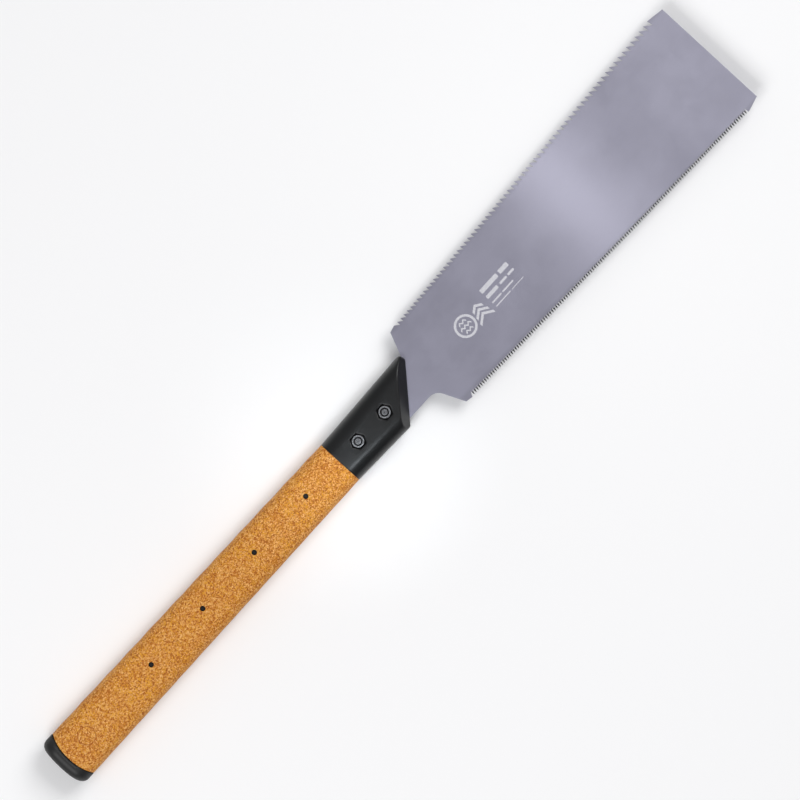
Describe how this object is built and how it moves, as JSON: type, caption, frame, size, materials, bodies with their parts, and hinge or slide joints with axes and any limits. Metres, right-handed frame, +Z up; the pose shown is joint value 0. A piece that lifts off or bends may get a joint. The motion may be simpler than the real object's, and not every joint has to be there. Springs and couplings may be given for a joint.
{
  "type": "japanese pull saw",
  "caption": "Two-edged japanese pull saw: thin replaceable blade with rip and crosscut edges, clamped by two bolts in a slanted black holder on a long cork-grain handle.",
  "frame": {"origin": "centre of the bounding box in plan, on the surface that the saw lies on", "axes": "+X from the butt to the blade's tip, +Y towards the rip teeth, +Z up, the side with the nuts"},
  "size_m": [0.5894, 0.083, 0.024],
  "materials": {
    "blade_steel": "satin, bluish grey",
    "holder_plastic": "satin black, finely textured",
    "cap_plastic": "matt black",
    "core_plastic": "glossy black",
    "cork_elastomer": "cork granules in elastomer, matt",
    "black_fastener": "blackened steel",
    "pin_steel": "bright steel"
  },
  "bodies": {
    "handle": {"holder_upper_shell": "holder_plastic", "holder_lower_shell": "holder_plastic", "handle_core": "core_plastic", "cork_grip": "cork_elastomer", "end_cap": "cap_plastic", "front_nut": "black_fastener", "rear_nut": "black_fastener", "front_pin": "pin_steel", "rear_pin": "pin_steel"},
    "blade": {"saw_blade": "blade_steel"},
    "front_washer_body": {"front_washer": "black_fastener"},
    "rear_washer_body": {"rear_washer": "black_fastener"},
    "front_bolt_body": {"front_bolt": "black_fastener"},
    "rear_bolt_body": {"rear_bolt": "black_fastener"}
  },
  "joints": [
    {"name": "blade_slide", "type": "slide", "parent": "handle", "child": "blade", "axis": [1, 0, 0], "range_m": [0, 0.07]},
    {"name": "front_bolt_travel", "type": "slide", "parent": "handle", "child": "front_washer_body", "axis": [0, 0, -1], "range_m": [0, 0.0024]},
    {"name": "front_bolt_turn", "type": "hinge", "parent": "front_washer_body", "child": "front_bolt_body", "pos_m": [-0.001, 0, 0], "axis": [0, 0, -1], "range_deg": [0, 1080]},
    {"name": "rear_bolt_travel", "type": "slide", "parent": "handle", "child": "rear_washer_body", "axis": [0, 0, -1], "range_m": [0, 0.0024]},
    {"name": "rear_bolt_turn", "type": "hinge", "parent": "rear_washer_body", "child": "rear_bolt_body", "pos_m": [-0.025, 0, 0], "axis": [0, 0, -1], "range_deg": [0, 1080]}
  ],
  "couplings": [
    {"joint": "front_bolt_turn", "follows": "front_bolt_travel", "rad_per_m": 7854},
    {"joint": "rear_bolt_turn", "follows": "rear_bolt_travel", "rad_per_m": 7854}
  ]
}
